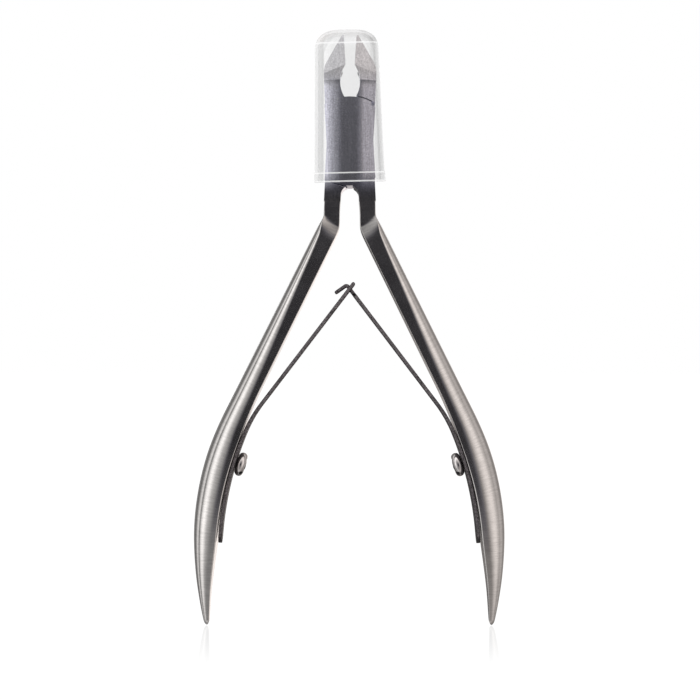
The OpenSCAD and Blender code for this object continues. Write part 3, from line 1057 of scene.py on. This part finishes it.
# Degrees away from the camera, and the light that metal sees there, to the left and to the right.
LEFT_LIGHT = (
    (0, 0.028),
    (4, 0.021),
    (8, 0.034),
    (15, 0.12),
    (25, 0.29),
    (36, 0.42),
    (46, 0.56),
    (55, 0.9),
    (65, 1.2),
    (76, 1.05),
    (84, 0.65),
    (90, 0.22),
    (95, 0.25),
    (100, 0.75),
    (107, 0.8),
    (114, 0.5),
    (122, 0.25),
    (134, 0.13),
    (148, 0.28),
    (160, 0.2),
    (171, 0.07),
)
RIGHT_LIGHT = (
    (0, 0.029),
    (4, 0.031),
    (8, 0.042),
    (17, 0.13),
    (26, 0.26),
    (35, 0.5),
    (46, 0.74),
    (58, 0.88),
    (70, 0.84),
    (82, 0.6),
    (95, 0.42),
    (104, 0.5),
    (116, 0.48),
    (126, 0.33),
    (137, 0.25),
    (150, 0.3),
    (160, 0.6),
    (171, 1.1),
)
# Within this many degrees of the camera the light is cool.
COOL_WITHIN = 20
# Beyond this many degrees, and above the table, there is white light behind the nippers.
BEHIND_FROM = 160


def light_stops(light, tint):
    """The ramp's stops, cool near the camera and tinted further round."""
    stops = []
    for degrees, value in light:
        colour = tint if degrees > COOL_WITHIN else COOL
        stops.append((degrees / 180, [c * value / BRIGHTEST for c in colour]))
    return stops


def studio():
    """White to the camera. Metal sees rings of light round it, brightest some way off to the sides."""
    world = bpy.data.worlds.new("studio")
    bpy.context.scene.world = world
    world.use_nodes = True
    n = Nodes(world.node_tree)
    direction = n.add("ShaderNodeTexCoord").outputs["Generated"]
    height = n.part(direction, "Z")
    to_camera = n.math("MULTIPLY", n.part(direction, "Y"), -1.0)
    from_camera = n.math("DIVIDE", n.math("ARCCOSINE", to_camera), math.pi)
    left = n.ramp(from_camera, light_stops(LEFT_LIGHT, WARM_LEFT))
    right = n.ramp(from_camera, light_stops(RIGHT_LIGHT, WARM_RIGHT))
    rings = n.mix(n.remap(n.part(direction, "X"), -0.06, 0.06), left, right)
    seen_by_metal = n.vmath("MULTIPLY", n.remap(height, -0.65, -0.2, LOW_LIGHT, 1.0), rings)
    behind = n.math("GREATER_THAN", from_camera, BEHIND_FROM / 180)
    table_light = n.math("MULTIPLY", behind, n.remap(height, 0.07, 0.1))
    bounces = n.add("ShaderNodeLightPath").outputs["Glossy Depth"]
    plain = n.math("MAXIMUM", n.math("LESS_THAN", bounces, 0.5), table_light)
    white = (1 / BRIGHTEST, 1 / BRIGHTEST, 1 / BRIGHTEST, 1)
    light = n.mix(plain, seen_by_metal, white)
    background = n.add("ShaderNodeBackground", {"Color": light, "Strength": BRIGHTEST})
    n.add("ShaderNodeOutputWorld", {"Surface": background.outputs[0]})


# Where the handles end, how strongly the table mirrors them there, and how far out that reaches.
TIP_X = 24.3
MIRROR = 0.24
MIRROR_REACH = 55
# Just under the handle ends, so that they never touch it.
TABLE_Z = -0.02


def floor():
    """A plain white table that mirrors the handle ends a little."""
    bm = bmesh.new()
    bmesh.ops.create_grid(bm, x_segments=1, y_segments=1, size=3)
    material, n = new_material("table")
    glow = n.add("ShaderNodeEmission", {"Color": (1, 1, 1, 1), "Strength": 1.06})
    gloss = n.add("ShaderNodeBsdfGlossy", {"Color": (1, 1, 1, 1), "Roughness": 0.1})
    from_tip = n.vmath("SUBTRACT", n.vmath("ABSOLUTE", n.place_at()), (TIP_X * MM, 0, 0))
    distance = n.vmath("LENGTH", from_tip)
    near = n.remap(distance, 0.0, MIRROR_REACH * MM, MIRROR, 0.0, interpolation_type="SMOOTHERSTEP")
    mix = n.add("ShaderNodeMixShader", {0: near, 1: glow.outputs[0], 2: gloss.outputs[0]})
    n.add("ShaderNodeOutputMaterial", {"Surface": mix.outputs[0]})
    table = new_piece("table", bm, material)
    table.visible_glossy = False
    table.visible_diffuse = False
    table.location.z = TABLE_Z * MM


# The camera's place in millimetres, and its angle of view and roll in degrees.
CAMERA_X = 0.07
CAMERA_AWAY = 290
CAMERA_Z = 47.63
CAMERA_VIEW = 23.61
CAMERA_ROLL = -0.1


def camera():
    """Looks level at the nippers' front."""
    data = bpy.data.cameras.new("camera")
    data.sensor_width = 36
    data.lens = data.sensor_width / (2 * math.tan(math.radians(CAMERA_VIEW / 2)))
    data.clip_start = 0.01
    obj = bpy.data.objects.new("camera", data)
    bpy.context.scene.collection.objects.link(obj)
    obj.location = (CAMERA_X * MM, -CAMERA_AWAY * MM, CAMERA_Z * MM)
    obj.rotation_euler = (math.radians(90), math.radians(CAMERA_ROLL), 0)
    bpy.context.scene.camera = obj


studio()
floor()
camera()
bpy.context.scene.view_settings.view_transform = "Standard"
